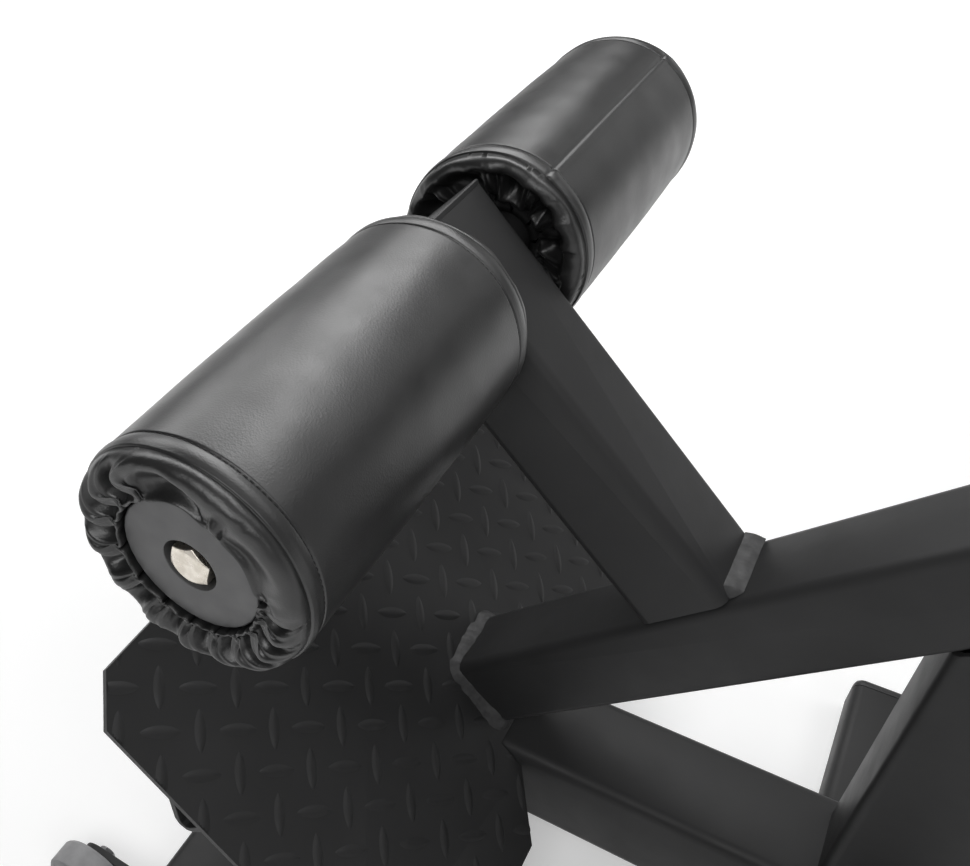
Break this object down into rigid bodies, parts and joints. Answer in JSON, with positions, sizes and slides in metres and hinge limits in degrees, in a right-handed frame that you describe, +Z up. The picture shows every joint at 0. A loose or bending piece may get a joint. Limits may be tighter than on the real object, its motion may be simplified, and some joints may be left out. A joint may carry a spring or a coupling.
{
  "type": "hyperextension bench",
  "caption": "45 degree hyperextension bench with padded ankle rollers, a tread foot plate, sliding hip pads, handles and transport wheels.",
  "frame": {"origin": "on the floor under the middle of the bench's footprint box", "axes": "+X from the foot end to the hip pads, +Y to the far side of the picture, +Z up"},
  "size_m": [1.0228, 0.5484, 0.9041],
  "materials": {
    "powder_coat": "matt black powder coat",
    "leatherette": "black fine-grained leatherette",
    "disc_steel": "satin dark grey",
    "zinc": "zinc plated",
    "dark_washer": "dark oxide",
    "black_plastic": "matt",
    "black_rubber": "matt",
    "wheel_plastic": "light grey moulded",
    "bright_steel": "bright plated",
    "plywood": "bare plywood"
  },
  "bodies": {
    "frame": {"base_tube": "powder_coat", "base_rear_cap": "black_plastic", "base_front_cap": "black_plastic", "rear_cross_foot": "powder_coat", "middle_cross_foot": "powder_coat", "front_cross_foot": "powder_coat", "middle_cross_cap_near": "black_plastic", "middle_cross_cap_far": "black_plastic", "front_cross_cap_near": "black_plastic", "front_cross_cap_far": "black_plastic", "rear_foot_pad_near": "black_rubber", "rear_foot_pad_far": "black_rubber", "middle_foot_pad_near": "black_rubber", "middle_foot_pad_far": "black_rubber", "front_foot_pad_near": "black_rubber", "front_foot_pad_far": "black_rubber", "wheel_bracket_near": "powder_coat", "wheel_bracket_far": "powder_coat", "wheel_bolt_near": "zinc", "wheel_bolt_far": "zinc", "wheel_nut_near": "zinc", "wheel_nut_far": "zinc", "column": "powder_coat", "main_beam": "powder_coat", "beam_collar": "black_plastic", "foot_plate": "powder_coat", "plate_rib": "powder_coat", "plate_strut_near": "powder_coat", "plate_strut_far": "powder_coat", "roller_post": "powder_coat", "post_cap": "black_plastic", "roller_axle": "bright_steel", "axle_washer_near": "dark_washer", "axle_washer_far": "dark_washer", "axle_bolt_near": "zinc", "axle_bolt_far": "zinc", "pin_housing": "bright_steel"},
    "near_roller": {"ankle_roller_near": "leatherette", "roller_core_near": "black_plastic", "roller_outer_disc_near": "disc_steel"},
    "far_roller": {"ankle_roller_far": "leatherette", "roller_core_far": "black_plastic", "roller_outer_disc_far": "disc_steel"},
    "near_wheel": {"transport_wheel_near": "wheel_plastic"},
    "far_wheel": {"transport_wheel_far": "wheel_plastic"},
    "carriage": {"carriage_tube": "bright_steel", "carriage_cap": "black_plastic", "pad_saddle": "powder_coat", "pad_board_near": "plywood", "pad_board_far": "plywood", "hip_pad_near": "leatherette", "hip_pad_far": "leatherette", "handle_bar": "powder_coat", "handle_grip_near": "black_rubber", "handle_grip_far": "black_rubber"},
    "locking_pin": {"pull_pin": "bright_steel", "pull_knob": "black_plastic"}
  },
  "joints": [
    {"name": "near_roller_spin", "type": "hinge", "parent": "frame", "child": "near_roller", "pos_m": [-0.29526, 0, 0.48292], "axis": [0, 1, 0], "continuous": true},
    {"name": "far_roller_spin", "type": "hinge", "parent": "frame", "child": "far_roller", "pos_m": [-0.29526, 0, 0.48292], "axis": [0, 1, 0], "continuous": true},
    {"name": "near_wheel_spin", "type": "hinge", "parent": "frame", "child": "near_wheel", "pos_m": [-0.48041, -0.2545, 0.033], "axis": [0, 1, 0], "continuous": true},
    {"name": "far_wheel_spin", "type": "hinge", "parent": "frame", "child": "far_wheel", "pos_m": [-0.48041, 0.2545, 0.033], "axis": [0, 1, 0], "continuous": true},
    {"name": "carriage_slide", "type": "slide", "parent": "frame", "child": "carriage", "axis": [0.7071, 0, 0.7071], "range_m": [-0.08, 0.12]},
    {"name": "pin_pull", "type": "slide", "parent": "frame", "child": "locking_pin", "axis": [0, -1, 0], "range_m": [0, 0.01], "stiffness_N_per_m": 400, "springref_m": -0.005}
  ]
}
